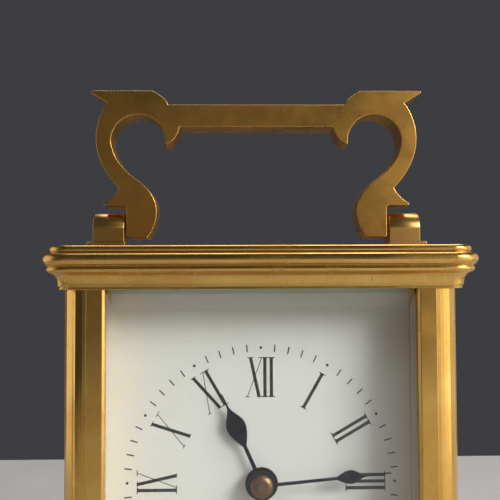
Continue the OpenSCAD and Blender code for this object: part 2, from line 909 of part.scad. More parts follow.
// A flat spring behind the click
module click_spring() {
  s = spring_at;
  color(BLUED)
    difference() {
      upright(ratchet_y0, ratchet_y1)
        union() {
          translate(s)
            circle(r = 1.3);
          polygon([s + [-1.1, -0.6], s + [-0.5, -1.1], s + [-1.9, -6.4], s + [-2.3, -6.3]]);
        }
      rod(s, 0.52, ratchet_y0 - 1, ratchet_y1 + 1);
    }
}

// A bridge over the ratchet wheel that steadies the winding arbor
module ratchet_bridge() {
  y0 = ratchet_y1 + 0.3;
  y1 = y0 + 1.2;
  color(PALE_BRASS)
    difference() {
      union() {
        at_rod(barrel_at)
          upright(y0, y1)
            union() {
              square([25, 5], center = true);
              circle(r = 4);
              for (s = [-1, 1])
                translate([s * 12.5, 0])
                  circle(r = 2.5);
            }
        for (p = bridge_points)
          rod(p, 2.5, back_y1, y0 + eps);
      }
      rod(barrel_at, barrel_back_r + play, y0 - 1, y1 + 1);
      for (p = bridge_points)
        rod(p, 0.7, back_y1 - 1, y1 + 1);
    }
}

// The screws on the back plate: two through the bridge, and one each for click and spring
module back_plate_screws() {
  y1 = ratchet_y1 + 1.5;
  color(BLUED) {
    for (p = bridge_points) {
      rod(p, 0.5, back_y0 + 0.2, y1 + eps);
      slotted_head(p, 1.3, y1);
    }
    rod(click_at, click_pin_r, back_y0 + 0.2, ratchet_y1 + 0.1);
    slotted_head(click_at, 1.7, ratchet_y1 + 0.1 - eps);
    rod(spring_at, 0.5, back_y0 + 0.2, ratchet_y1 + eps);
    slotted_head(spring_at, 1.1, ratchet_y1);
  }
}

module slotted_head(p, r, y) {
  translate([p[0], y, p[1]])
    rotate([-90, 0, 0])
      screw_head(r, 0.7);
}

// ---- Going train ----

// An arbor between the plates with a pivot at each end
module arbor(r, pivot) {
  rod([0, 0], r, front_y1 + 0.3, back_y0 - 0.3);
  rod([0, 0], pivot, front_y0 + 0.2, front_y1 + 0.3 + eps);
  rod([0, 0], pivot, back_y0 - 0.3 - eps, back_y1 - 0.2);
}

module intermediate_wheel() {
  color(PALE_BRASS)
    at_rod(inter_at)
      union() {
        arbor(0.8, pivot_mid);
        pinion(inter_pinion_n, great_m, 3.6, 5.9, 0.7, barrel_dir + 180 / inter_pinion_n);
        crossed_wheel(inter_n, inter_m, 8, 8.9, 2, 0.7, 5, 180 + inter_dir);
        rod([0, 0], 1.8, 5.9 - eps, 8.9);
      }
}

// Centre arbor: carries the hands at the front and the hand-setting square at the back
module centre_arbor() {
  color(STEEL)
    at_rod(centre_at)
      union() {
        rod([0, 0], centre_r, arbor_tip_y, front_y1 + 0.3);
        rod([0, 0], 1.1, front_y1 + 0.3 - eps, back_y0 - 0.3);
        rod([0, 0], centre_r + 0.2, back_y0 - 0.3 - eps, back_y1 + 2);
        block(-0.9, 0.9, back_y1 + 2 - eps, square_end, -0.9, 0.9);
        pinion(centre_pinion_n, inter_m, 7.5, 9.3, 0.9, inter_dir + 180 / centre_pinion_n);
      }
}

module centre_wheel() {
  color(PALE_BRASS)
    at_rod(centre_at)
      union() {
        crossed_wheel(centre_n, centre_m, 10.7, 11.5, 2.2, 1.1, 5, third_dir);
        difference() {
          rod([0, 0], 2, 9.6, 10.7 + eps);
          rod([0, 0], 1.1, 9, 12);
        }
      }
}

module third_wheel() {
  color(PALE_BRASS)
    at_rod(third_at)
      union() {
        arbor(0.7, pivot_small);
        pinion(third_pinion_n, centre_m, 10.3, 12, 0.6, third_dir + 180 + 180 / third_pinion_n);
        crossed_wheel(third_n, third_m, 6, 6.7, 1.8, 0.6, 5, contrate_dir);
        rod([0, 0], 1.3, 6.7 - eps, 9);
      }
}

// A crown wheel: its teeth point forward along the arbor
module contrate_wheel() {
  rim_in = crown_r - 0.5;
  rim_out = crown_r + 0.4;
  disc_y = crown_y + 1.1;
  color(PALE_BRASS)
    at_rod(contrate_at)
      union() {
        arbor(0.7, pivot_small);
        pinion(contrate_pinion_n, third_m, 5.6, 7.1, 0.6,
               contrate_dir + 180 + 180 / contrate_pinion_n);
        difference() {
          union() {
            difference() {
              rod([0, 0], rim_out, crown_y + 0.3, disc_y + 0.7);
              rod([0, 0], rim_in, crown_y, disc_y);
            }
            for (i = [0:contrate_n - 1])
              rotate([0, 360 * (i + 0.5) / contrate_n, 0])
                crown_tooth(rim_in, rim_out);
          }
          for (i = [0:4])
            translate([0, disc_y + 2, 0])
              rotate([90, 0, 0])
                rotate([0, 0, 72 * i + 12])
                  linear_extrude(4) spoke_gap(rim_in - 0.4, 1.8, 5);
        }
        rod([0, 0], 1.4, disc_y - 0.6, disc_y + 1.6);
      }
}

module crown_tooth(r0, r1) {
  root = 0.16;
  tip = 0.06;
  translate([0, 0, r0 + 0.02])
    linear_extrude(r1 - r0 - 0.04)
      polygon([[-root, crown_y + 0.32], [-0.11, crown_y], [-tip, crown_y - 0.2],
               [tip, crown_y - 0.2], [0.11, crown_y], [root, crown_y + 0.32]]);
}

// ---- Motion work, between the front plate and the dial ----

module cannon_pinion() {
  color(STEEL)
    at_rod(centre_at)
      difference() {
        union() {
          rod([0, 0], cannon_pipe_r, minute_y0, front_y0 - 0.2);
          pinion(cannon_n, minute_m, front_y0 - 1.3, front_y0 - 0.2, 0.9, minute_dir);
        }
        rod([0, 0], centre_r, -26, front_y0 + 1);
      }
}

module minute_wheel() {
  y1 = front_y0 - 0.4;
  dir = minute_dir + 180 + 180 / minute_n;
  color(PALE_BRASS)
    at_rod(minute_wheel_at)
      difference() {
        union() {
          crossed_wheel(minute_n, minute_m, y1 - 0.8, y1, 2.4, 0.5, 4, dir);
          pinion(minute_pinion_n, hour_m, y1 - 2.7, y1 - 0.8 + eps, 0.5, minute_dir + 180);
        }
        rod([0, 0], 0.6 + play, front_y0 - 4, front_y0 + 1);
      }
}

// The stud that the minute wheel turns on, riveted into the front plate
module minute_wheel_stud() {
  color(STEEL) {
    rod(minute_wheel_at, 0.7, front_y0, front_y1 - 0.2);
    rod(minute_wheel_at, 0.6, front_y0 - 3.5, front_y0 + eps);
  }
}

module hour_wheel() {
  y0 = dial_y1 + 0.6;
  color(PALE_BRASS)
    at_rod(centre_at)
      difference() {
        union() {
          crossed_wheel(hour_n, hour_m, y0, y0 + 0.8, 3, 1, 4,
                        minute_dir + 180 / hour_n);
          rod([0, 0], hour_pipe_r, hour_y0 - 0.1, y0 + 1.2);
        }
        rod([0, 0], hour_bore_r, -30, y0 + 3);
      }
}

// ---- Lever platform ----

platform_y0 = front_y0;
platform_y1 = back_y1;
platform_points = [[-14.5, platform_y0 + 0.9], [14.5, platform_y0 + 0.9],
                   [-14.5, platform_y1 - 0.9], [14.5, platform_y1 - 0.9]];
platform_screw_r = 0.45;
bridge_x = 5.4;
bridge_y = -9.6;
bridge_z = 92.6;

module platform_plate() {
  color(PALE_BRASS)
    difference() {
      block(-platform_x, platform_x, platform_y0, platform_y1, platform_z, platform_top);
      post([0, escape_y], 1.3, platform_z - 1, platform_top + 1);
      post([0, lever_y], pivot_small + play, platform_z - 1, platform_top + 1);
      post([0, balance_y], pivot_small + play, platform_z - 1, platform_top + 1);
      for (p = platform_points)
        post(p, platform_screw_r + 0.05, platform_z - 1, platform_top + 1);
      post([0, cock_post_y], 0.6, platform_z - 1, platform_top + 1);
    }
}

// The platform's four screws and the single screw of the balance cock
module platform_screws() {
  color(BLUED) {
    for (p = platform_points)
      translate([p[0], p[1], platform_top]) {
        screw_head(0.85, 0.7);
        post([0, 0], platform_screw_r, -platform_t - 2, eps);
      }
    translate([0, cock_post_y, cock_z + 1.2])
      screw_head(1.2, 0.7);
    post([0, cock_post_y], 0.55, platform_z + 0.1, cock_z + 1.2 + eps);
  }
}

// A bracket under the platform with the escape arbor's lower hole
module escape_potence() {
  color(PALE_BRASS)
    difference() {
      union() {
        block(-2, 2, -12.2, -10.4, 80.8, platform_z);
        block(-2, 2, -10.4 - eps, escape_y + 1.1, 80.8, 82.2);
      }
      post([0, escape_y], pivot_small + play, 80, 83);
    }
}

// Escape wheel with fifteen club teeth, on its upright arbor with the pinion below
module escape_wheel() {
  color(PALE_BRASS)
    translate([0, escape_y, 0])
      union() {
        post([0, 0], pivot_small, 81.2, 82.6);
        post([0, 0], 0.42, 82.6 - eps, bridge_z - 0.2);
        post([0, 0], pivot_small - 0.1, bridge_z - 0.2 - eps, bridge_z + 0.7);
        translate([0, 0, 83.5])
          rotate([0, 0, 90])
            linear_extrude(2.8) pinion_teeth(escape_pinion_n, contrate_m);
        difference() {
          translate([0, 0, escape_z])
            linear_extrude(0.4)
              polygon([for (i = [0:escape_n - 1], p = [[2.1, -6], [2.95, -1], [escape_r, 1.5],
                                                       [2.95, 5], [2.1, 0]])
                p[0] * [cos(24 * i + p[1]), sin(24 * i + p[1])]]);
          for (i = [0:3])
            rotate([0, 0, 90 * i])
              translate([0, 0, escape_z - 1])
                linear_extrude(3) spoke_gap(1.75, 0.9, 4);
        }
      }
}

// A low bridge over the escape wheel and the lever, under the balance
module escape_bridge() {
  color(PALE_BRASS)
    difference() {
      union() {
        block(-bridge_x - 1.2, bridge_x + 1.2, bridge_y - 1.2, bridge_y + 1.2, bridge_z,
              bridge_z + 0.9);
        block(-1.3, 1.3, bridge_y, lever_y + 1.1, bridge_z, bridge_z + 0.9);
        for (s = [-1, 1])
          post([s * bridge_x, bridge_y], 1.2, platform_top, bridge_z + eps);
      }
      post([0, escape_y], pivot_small - 0.1 + play, bridge_z - 1, bridge_z + 2);
      post([0, lever_y], pivot_small - 0.1 + play, bridge_z - 1, bridge_z + 2);
    }
}

// Anchor and fork in one piece, with its own short staff; both ends stand clear
module pallet_lever() {
  color(STEEL)
    union() {
      post([0, lever_y], pivot_small, platform_z + 0.3, platform_top + 0.3);
      post([0, lever_y], 0.45, platform_top + 0.3 - eps, bridge_z - 0.2);
      post([0, lever_y], pivot_small - 0.1, bridge_z - 0.2 - eps, bridge_z + 0.7);
      translate([0, lever_y, escape_z])
        linear_extrude(0.45)
          union() {
            circle(r = 0.9);
            translate([-0.25, 0])
              square([0.5, 4.1]);
            for (s = [-1, 1])
              polygon([[0, 0.5], [s * 2.1, -1.4], [s * 2.15, -2.3], [s * 1.75, -2.25],
                       [s * 1.5, -1.5], [0, -0.6]]);
            for (s = [-1, 1])
              polygon([[0, 3.4], [s * 0.55, 4], [s * 0.55, 4.55], [s * 0.28, 4.55],
                       [s * 0.25, 4.05], [0, 4.05]]);
          }
    }
}

// Balance wheel with its staff, roller and impulse pin
module balance_wheel() {
  color(PALE_BRASS)
    translate([0, balance_y, 0])
      union() {
        difference() {
          post([0, 0], balance_r, balance_z, balance_z + 1);
          post([0, 0], balance_r - 1.3, balance_z - 1, balance_z + 2);
        }
        block(1.3 - balance_r, balance_r - 1.3, -0.6, 0.6, balance_z + 0.2, balance_z + 0.8);
        post([0, 0], 1.6, balance_z - 0.3, balance_z + 1.1);
        post([0, 0], 0.5, platform_top + 0.3, cock_z - 0.2);
        post([0, 0], pivot_small, platform_z + 0.3, platform_top + 0.4);
        post([0, 0], pivot_small - 0.1, cock_z - 0.3, cock_z + 0.8);
        post([0, 0], 2, 92.7, 93.2);
        post([0, -1.5], 0.2, 91.4, 92.8);
        for (i = [0:11])
          rotate([0, 0, 30 * i + 15])
            translate([balance_r - 0.4, 0, balance_z + 0.5])
              rotate([0, 90, 0])
                cylinder(r = 0.32, h = 0.8);
      }
}

hairspring_z = 95.5;

// The hairspring hangs from its stud under the cock, round the balance staff
module hairspring() {
  turns = 9;
  inner = spiral(1.1, 0.34, turns, 24);
  outer = spiral(1.22, 0.34, turns, 24);
  color(BLUED)
    translate([0, balance_y, 0])
      union() {
        translate([0, 0, hairspring_z])
          linear_extrude(0.5)
            polygon(concat(inner, [for (i = [len(outer) - 1:-1:0]) outer[i]]));
        post([4.2, 0.1], 0.35, hairspring_z, cock_z + 0.4);
      }
}

module balance_cock() {
  arm = 3.2;
  color(PALE_BRASS)
    difference() {
      union() {
        block(-3.5, 3.5, cock_post_y - 1.4, cock_post_y + 1.4, platform_top, cock_z + 1.2);
        block(-arm / 2 - 0.6, arm / 2 + 0.6, balance_y, cock_post_y, cock_z, cock_z + 1.2);
        post([0, balance_y], 3, cock_z, cock_z + 1.2);
        block(0, 5.2, balance_y - 0.7, balance_y + 0.9, cock_z, cock_z + 0.8);
      }
      post([0, balance_y], pivot_small - 0.1 + play, cock_z - 1, cock_z + 2);
      post([0, cock_post_y], 0.6, platform_z, cock_z + 2);
      post([4.2, balance_y + 0.1], 0.4, cock_z - 1, cock_z + 2);
    }
}

// The index that shortens or lengthens the hairspring, turning on the cock
module regulator() {
  z0 = cock_z + 1.25;
  color(STEEL)
    translate([0, balance_y, 0])
      union() {
        post([0, 0], 1.5, z0, z0 + 0.5);
        block(-0.4, 0.4, -6.5, 0, z0, z0 + 0.4);
      }
}

base();
case_top();
pillar_front_left();
pillar_front_right();
pillar_rear_left();
pillar_rear_right();
front_glass();
left_glass();
right_glass();
top_glass();
case_screws();
door_frame();
door_glass();
door_knob();
door_hinge_pins();
handle();
handle_lug_left();
handle_lug_right();
handle_pivot_pins();
dial();
hour_hand();
minute_hand();
hand_collet();
front_plate();
back_plate();
movement_pillars();
pillar_screws();
movement_screws();
barrel();
barrel_cover();
barrel_arbor();
mainspring();
ratchet_wheel();
click();
click_spring();
ratchet_bridge();
back_plate_screws();
intermediate_wheel();
centre_arbor();
centre_wheel();
third_wheel();
contrate_wheel();
cannon_pinion();
minute_wheel();
minute_wheel_stud();
hour_wheel();
platform_plate();
platform_screws();
escape_potence();
escape_wheel();
escape_bridge();
pallet_lever();
balance_wheel();
hairspring();
balance_cock();
regulator();
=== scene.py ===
# Looks for the carriage clock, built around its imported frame. Metres, +Z up, dial facing -Y.
import math

import bpy
from mathutils import Matrix, Vector


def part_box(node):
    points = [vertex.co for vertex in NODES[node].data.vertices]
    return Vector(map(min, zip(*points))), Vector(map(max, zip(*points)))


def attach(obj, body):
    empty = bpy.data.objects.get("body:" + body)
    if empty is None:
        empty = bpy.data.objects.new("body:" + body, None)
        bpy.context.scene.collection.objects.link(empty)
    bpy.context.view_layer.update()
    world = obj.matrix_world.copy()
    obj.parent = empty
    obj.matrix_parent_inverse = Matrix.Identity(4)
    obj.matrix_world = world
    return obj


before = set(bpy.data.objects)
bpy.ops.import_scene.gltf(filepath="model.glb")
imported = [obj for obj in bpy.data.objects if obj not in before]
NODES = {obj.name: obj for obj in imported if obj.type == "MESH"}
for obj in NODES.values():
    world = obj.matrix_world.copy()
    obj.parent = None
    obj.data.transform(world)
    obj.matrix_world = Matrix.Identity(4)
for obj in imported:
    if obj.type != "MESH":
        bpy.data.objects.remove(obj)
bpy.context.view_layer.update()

MM = 0.001


def middle(low, high):
    """Halfway between two corners of a box, in height."""
    return (low.z + high.z) / 2


# ---- Material building ----

# How much of a spot's radius is at full strength
SPOT_CORE = 0.4


class Graph:
    """One material's node tree, with short calls for the nodes used here."""

    def __init__(self, name):
        self.material = bpy.data.materials.new(name)
        self.material.use_nodes = True
        self.tree = self.material.node_tree
        self.tree.nodes.clear()
        coordinates = self.node("ShaderNodeTexCoord")
        self.place = coordinates.outputs["Object"]
        self.facing = coordinates.outputs["Normal"]

    def node(self, kind, inputs=(), **settings):
        made = self.tree.nodes.new(kind)
        for key, value in settings.items():
            setattr(made, key, value)
        for key, value in dict(inputs).items():
            self.feed(made.inputs[key], value)
        return made

    def feed(self, socket, value):
        if isinstance(value, bpy.types.NodeSocket):
            self.tree.links.new(value, socket)
        else:
            socket.default_value = value

    def math(self, operation, a, b=0.0, clamp=False):
        made = self.node("ShaderNodeMath", {0: a, 1: b}, operation=operation, use_clamp=clamp)
        return made.outputs[0]

    def stretched(self, scale):
        """The object's coordinates multiplied by scale, one factor for each axis."""
        made = self.node("ShaderNodeMapping", {"Vector": self.place, "Scale": scale})
        return made.outputs["Vector"]

    def noise(self, scale, detail=4.0, roughness=0.55, vector=None, distortion=0.0):
        made = self.node("ShaderNodeTexNoise", {
            "Vector": vector or self.place, "Scale": scale, "Detail": detail,
            "Roughness": roughness, "Distortion": distortion})
        return made.outputs["Fac"]

    def spots(self, scale, radius):
        """Round spots of about radius, in cells 1/scale metres wide: 1 in a spot, 0 outside."""
        cells = self.node("ShaderNodeTexVoronoi", {
            "Vector": self.place, "Scale": scale, "Randomness": 1.0})
        rim = radius * scale
        return self.remap(cells.outputs["Distance"], rim, rim * SPOT_CORE, 0, 1)

    def remap(self, value, low, high, to_low, to_high):
        made = self.node("ShaderNodeMapRange", {
            "Value": value, "From Min": low, "From Max": high,
            "To Min": to_low, "To Max": to_high})
        return made.outputs["Result"]

    def mix(self, factor, a, b):
        made = self.node("ShaderNodeMix", data_type="RGBA", blend_type="MIX")
        self.feed(made.inputs[0], factor)
        self.feed(made.inputs[6], a)
        self.feed(made.inputs[7], b)
        return made.outputs[2]

    def crevices(self, reach):
        """1 in the open and towards 0 in grooves narrower than reach."""
        made = self.node("ShaderNodeAmbientOcclusion", {"Distance": reach},
                         samples=6, only_local=True)
        return made.outputs["AO"]

    def bump(self, height, distance):
        made = self.node("ShaderNodeBump", {
            "Height": height, "Distance": distance, "Strength": 1.0})
        return made.outputs["Normal"]

    def coordinate(self, axis):
        return self.node("ShaderNodeSeparateXYZ", {0: self.place}).outputs[axis]

    def finish(self, shader):
        self.node("ShaderNodeOutputMaterial", {"Surface": shader})
        return self.material


PIT_RADIUS = 0.16 * MM
PIT_CELLS = 620.0


def metal(name, clean, aged, dirt_and_shade, grain, roughness, grain_depth=2e-6, blotch=70.0,
          pits=0.0, crevice=0.0009):
    """A worked metal: clean to aged in blotches, brushed along grain, dark in its crevices.

    grain is how fast the brushing changes along each axis, roughness its lowest and
    highest value, blotch the blotches' scale, pits how many of the pit cells hold a pit,
    from 0 to 1, and crevice the width of groove that is darkened with painted shade.
    """
    g = Graph(name)
    patches = g.remap(g.noise(blotch, 6.0, 0.6), 0.36, 0.66, 0.0, 1.0)
    specks = g.noise(2600.0, 3.0, 0.6)
    lines = g.noise(1.0, 3.0, 0.65, g.stretched(grain))
    wide_lines = g.noise(0.35, 2.0, 0.5, g.stretched(grain))
    colour = g.mix(patches, clean, aged)
    colour = g.mix(g.remap(lines, 0.3, 0.7, 0.22, 0.0), colour, aged)
    colour = g.mix(g.remap(specks, 0.62, 0.8, 0.0, 0.5), colour, dirt_and_shade)
    # Painted shade: ambient occlusion darkens the colour in grooves narrower than crevice, and
    # roughens them
    grime = g.remap(g.crevices(crevice), 0.75, 0.25, 0.0, 0.85)
    colour = g.mix(grime, colour, dirt_and_shade)
    height = g.math("ADD", lines, g.math("MULTIPLY", wide_lines, 1.2))
    height = g.math("ADD", height, g.math("MULTIPLY", specks, 0.35))
    low, high = roughness
    rough = g.remap(g.math("ADD", g.math("MULTIPLY", patches, 0.6),
                           g.math("MULTIPLY", lines, 0.4)), 0.2, 0.8, low, high)
    rough = g.math("ADD", rough, g.math("MULTIPLY", grime, 0.25), clamp=True)
    if pits:
        held = g.remap(g.noise(160.0, 2.0), 0.62 - 0.2 * pits, 0.66 - 0.2 * pits, 0.0, 1.0)
        hole = g.math("MULTIPLY", g.spots(PIT_CELLS, PIT_RADIUS), held)
        colour = g.mix(g.math("MULTIPLY", hole, 0.85), colour, dirt_and_shade)
        rough = g.math("ADD", rough, g.math("MULTIPLY", hole, 0.3), clamp=True)
        height = g.math("SUBTRACT", height, g.math("MULTIPLY", hole, 12.0))
    shader = g.node("ShaderNodeBsdfPrincipled", {
        "Base Color": colour, "Metallic": 1.0, "Roughness": rough,
        "Normal": g.bump(height, grain_depth)})
    return g.finish(shader.outputs[0])


def blued(name, deep, warm, tip, roughness):
    """Steel tempered blue, with brown and purple where the heat differed."""
    g = Graph(name)
    heat = g.remap(g.noise(190.0, 3.0), 0.35, 0.7, 0.0, 1.0)
    colour = g.mix(heat, deep, warm)
    colour = g.mix(g.remap(g.noise(900.0, 4.0), 0.6, 0.75, 0.0, 0.5), colour, tip)
    fine = g.noise(1.0, 3.0, 0.6, g.stretched((9000.0, 900.0, 9000.0)))
    rough = g.remap(g.math("ADD", heat, fine), 0.3, 1.5, roughness, roughness + 0.18)
    shader = g.node("ShaderNodeBsdfPrincipled", {
        "Base Color": colour, "Metallic": 1.0, "Roughness": rough,
        "Normal": g.bump(fine, 1.5e-6)})
    return g.finish(shader.outputs[0])


# Behind this depth the dial is its copper feet, not its enamelled plate
DIAL_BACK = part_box("dial")[0].y + 1.55 * MM
PINHOLE_RADIUS = 0.07 * MM
PINHOLE_CELLS = 310.0


def enamel(name):
    """White fired enamel with faint clouding, pinholes and waviness; its feet are copper."""
    g = Graph(name)
    cloud = g.remap(g.noise(45.0, 4.0), 0.35, 0.7, 0.0, 1.0)
    colour = g.mix(cloud, (0.79, 0.79, 0.785, 1), (0.75, 0.75, 0.74, 1))
    pinholes = g.math("MULTIPLY", g.spots(PINHOLE_CELLS, PINHOLE_RADIUS),
                      g.remap(g.noise(90.0), 0.62, 0.66, 0.0, 1.0))
    colour = g.mix(g.math("MULTIPLY", pinholes, 0.75), colour, (0.16, 0.14, 0.11, 1))
    colour = g.mix(g.remap(g.noise(1500.0, 3.0), 0.6, 0.8, 0.0, 0.12), colour,
                   (0.45, 0.43, 0.37, 1))
    behind = g.math("GREATER_THAN", g.coordinate("Y"), DIAL_BACK)
    colour = g.mix(behind, colour, (0.62, 0.25, 0.13, 1))
    height = g.math("SUBTRACT", g.noise(120.0, 2.0), g.math("MULTIPLY", pinholes, 0.4))
    shader = g.node("ShaderNodeBsdfPrincipled", {
        "Base Color": colour, "Metallic": behind,
        "Roughness": g.remap(g.noise(260.0), 0.3, 0.7, 0.10, 0.2),
        "Coat Weight": 0.35, "Coat Roughness": 0.06,
        "Normal": g.bump(height, 1.2e-5)})
    return g.finish(shader.outputs[0])


def fired_black(name):
    """Black vitreous paint, thinner and greyer in patches."""
    g = Graph(name)
    colour = g.mix(g.remap(g.noise(1400.0, 4.0), 0.4, 0.75, 0.0, 1.0),
                   (0.012, 0.012, 0.011, 1), (0.05, 0.05, 0.045, 1))
    shader = g.node("ShaderNodeBsdfPrincipled", {
        "Base Color": colour, "Roughness": g.remap(g.noise(700.0), 0.3, 0.7, 0.25, 0.45),
        "Normal": g.bump(g.noise(2500.0), 2e-6)})
    return g.finish(shader.outputs[0])


# An upright pane's edge stands in a groove, and beside the groove it looks green
PANE_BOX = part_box("front_glass")
PANE_MIDDLE = middle(*PANE_BOX)
GROOVE_DEPTH = 1.0 * MM
GREEN_BAND = 0.9 * MM
PANE_CLEAR = (PANE_BOX[1].z - PANE_BOX[0].z) / 2 - GROOVE_DEPTH - GREEN_BAND


def pane(name, axis):
    """Old plate glass, clear through its faces and greener at the ground edges.

    axis is the unit direction that the pane faces. Light passes it to what is behind.
    """
    g = Graph(name)
    along = g.node("ShaderNodeVectorMath", {0: g.facing, 1: axis}, operation="DOT_PRODUCT")
    on_edge = g.remap(g.math("ABSOLUTE", along.outputs["Value"]), 0.5, 0.2, 0.0, 1.0)
    upright = axis[2] == 0
    if upright:
        from_middle = g.math("ABSOLUTE", g.math("SUBTRACT", g.coordinate("Z"), PANE_MIDDLE))
        band = g.math("GREATER_THAN", from_middle, PANE_CLEAR)
        on_edge = g.math("MAXIMUM", on_edge, g.math("MULTIPLY", band, 0.6))
    tint = g.mix(on_edge, (0.965, 0.985, 0.972, 1), (0.45, 0.72, 0.58, 1))
    smears = g.remap(g.noise(55.0, 5.0, 0.6, distortion=1.5), 0.5, 0.8, 0.0, 0.035)
    rough = g.math("ADD", smears, g.math("MULTIPLY", on_edge, 0.25))
    wavy = g.bump(g.noise(30.0, 2.0), 4e-6)
    glass = g.node("ShaderNodeBsdfPrincipled", {
        "Base Color": tint, "Roughness": rough, "IOR": 1.5,
        "Transmission Weight": 1.0, "Normal": wavy})
    clear = g.node("ShaderNodeBsdfTransparent", {"Color": (0.95, 0.97, 0.96, 1)})
    light = g.node("ShaderNodeLightPath")
    mixed = g.node("ShaderNodeMixShader", {0: light.outputs["Is Shadow Ray"]})
    g.feed(mixed.inputs[1], glass.outputs[0])
    g.feed(mixed.inputs[2], clear.outputs[0])
    return g.finish(mixed.outputs[0])


def plain_floor(name):
    g = Graph(name)
    colour = g.mix(g.noise(14.0, 4.0), (0.61, 0.605, 0.61, 1), (0.65, 0.645, 0.65, 1))
    shader = g.node("ShaderNodeBsdfPrincipled", {
        "Base Color": colour, "Roughness": g.remap(g.noise(40.0), 0.3, 0.7, 0.5, 0.7)})
    return g.finish(shader.outputs[0])


# Brushing runs along the slow axes of each grain
LEVEL = (60.0, 60.0, 9000.0)
UPRIGHT = (9000.0, 9000.0, 60.0)
ACROSS = (60.0, 9000.0, 9000.0)
MATT = (5000.0, 5000.0, 5000.0)

GOLD = (0.86, 0.56, 0.17, 1)
AGED_GOLD = (0.70, 0.40, 0.10, 1)
# Dark brown for dirt specks and pits, and for the painted shade in the brass's grooves
GRIME_AND_SHADE = (0.10, 0.055, 0.02, 1)

cornice_brass = metal("cornice_brass", GOLD, AGED_GOLD, GRIME_AND_SHADE, LEVEL, (0.16, 0.34), pits=0.45)
base_brass = metal("base_brass", GOLD, AGED_GOLD, GRIME_AND_SHADE, LEVEL, (0.18, 0.36), pits=0.5)
pillar_brass = metal("pillar_brass", (0.86, 0.54, 0.15, 1), (0.74, 0.41, 0.095, 1), GRIME_AND_SHADE,
                     UPRIGHT, (0.14, 0.30), pits=0.2)
handle_brass = metal("handle_brass", (0.77, 0.45, 0.11, 1), (0.58, 0.31, 0.07, 1), GRIME_AND_SHADE,
                     MATT, (0.25, 0.40), blotch=110.0, pits=0.6)
lug_brass = metal("lug_brass", (0.80, 0.50, 0.16, 1), (0.64, 0.37, 0.10, 1), GRIME_AND_SHADE,
                  UPRIGHT, (0.26, 0.38), pits=0.25)
turned_brass = metal("turned_brass", (0.80, 0.54, 0.2, 1), (0.52, 0.31, 0.1, 1), GRIME_AND_SHADE,
                     MATT, (0.22, 0.42), crevice=0.0005)
collet_brass = metal("collet_brass", (0.34, 0.22, 0.11, 1), (0.22, 0.12, 0.06, 1),
                     (0.06, 0.03, 0.015, 1), MATT, (0.3, 0.45), crevice=0.0005)
plate_brass = metal("plate_brass", (0.90, 0.68, 0.33, 1), (0.80, 0.55, 0.22, 1), GRIME_AND_SHADE,
                    UPRIGHT, (0.24, 0.4), crevice=0.0006)
gilt_brass = metal("gilt_brass", (0.93, 0.70, 0.34, 1), (0.84, 0.58, 0.24, 1), GRIME_AND_SHADE,
                   MATT, (0.34, 0.5), grain_depth=4e-6, crevice=0.0005)
wheel_brass = metal("wheel_brass", (0.88, 0.64, 0.27, 1), (0.76, 0.5, 0.18, 1), GRIME_AND_SHADE,
                    ACROSS, (0.18, 0.34), crevice=0.0004)
steel = metal("steel", (0.62, 0.61, 0.60, 1), (0.46, 0.44, 0.42, 1), (0.08, 0.06, 0.05, 1),
              UPRIGHT, (0.16, 0.32), crevice=0.0004)
spring_steel = metal("spring_steel", (0.42, 0.42, 0.44, 1), (0.3, 0.3, 0.33, 1),
                     (0.06, 0.05, 0.05, 1), LEVEL, (0.2, 0.36), crevice=0.0003)
arbor_steel = metal("arbor_steel", (0.34, 0.25, 0.15, 1), (0.22, 0.15, 0.09, 1),
                    (0.05, 0.035, 0.02, 1), MATT, (0.3, 0.42), crevice=0.0004)
hand_blue = blued("hand_blue", (0.010, 0.013, 0.028, 1), (0.022, 0.016, 0.035, 1),
                  (0.05, 0.035, 0.03, 1), 0.2)
minute_blue = blued("minute_blue", (0.016, 0.016, 0.035, 1), (0.06, 0.028, 0.034, 1),
                    (0.04, 0.03, 0.05, 1), 0.2)
screw_blue = blued("screw_blue", (0.03, 0.05, 0.20, 1), (0.09, 0.05, 0.18, 1),
                   (0.10, 0.06, 0.08, 1), 0.14)
dial_enamel = enamel("dial_enamel")
dial_black = fired_black("dial_black")

FINISHES = {
    cornice_brass: ["case_top"],
    base_brass: ["base"],
    pillar_brass: ["pillar_front_left", "pillar_front_right", "pillar_rear_left",
                   "pillar_rear_right", "door_frame"],
    handle_brass: ["handle"],
    lug_brass: ["handle_lug_left", "handle_lug_right"],
    turned_brass: ["door_knob"],
    collet_brass: ["hand_collet"],
    plate_brass: ["front_plate", "back_plate", "ratchet_bridge", "barrel", "barrel_cover",
                  "movement_pillars"],
    gilt_brass: ["platform_plate", "escape_bridge", "balance_cock", "escape_potence"],
    wheel_brass: ["intermediate_wheel", "centre_wheel", "third_wheel", "contrate_wheel",
                  "minute_wheel", "hour_wheel", "escape_wheel", "balance_wheel"],
    steel: ["barrel_arbor", "ratchet_wheel", "click", "cannon_pinion", "minute_wheel_stud",
            "pallet_lever", "regulator", "case_screws", "movement_screws",
            "door_hinge_pins", "handle_pivot_pins"],
    arbor_steel: ["centre_arbor"],
    spring_steel: ["mainspring"],
    hand_blue: ["hour_hand"],
    minute_blue: ["minute_hand"],
    screw_blue: ["pillar_screws", "back_plate_screws", "platform_screws", "click_spring",
                 "hairspring"],
    dial_enamel: ["dial"],
    pane("glass_facing_front", (0, 1, 0)): ["front_glass", "door_glass"],
    pane("glass_facing_side", (1, 0, 0)): ["left_glass", "right_glass"],
    pane("glass_facing_up", (0, 0, 1)): ["top_glass"],
}

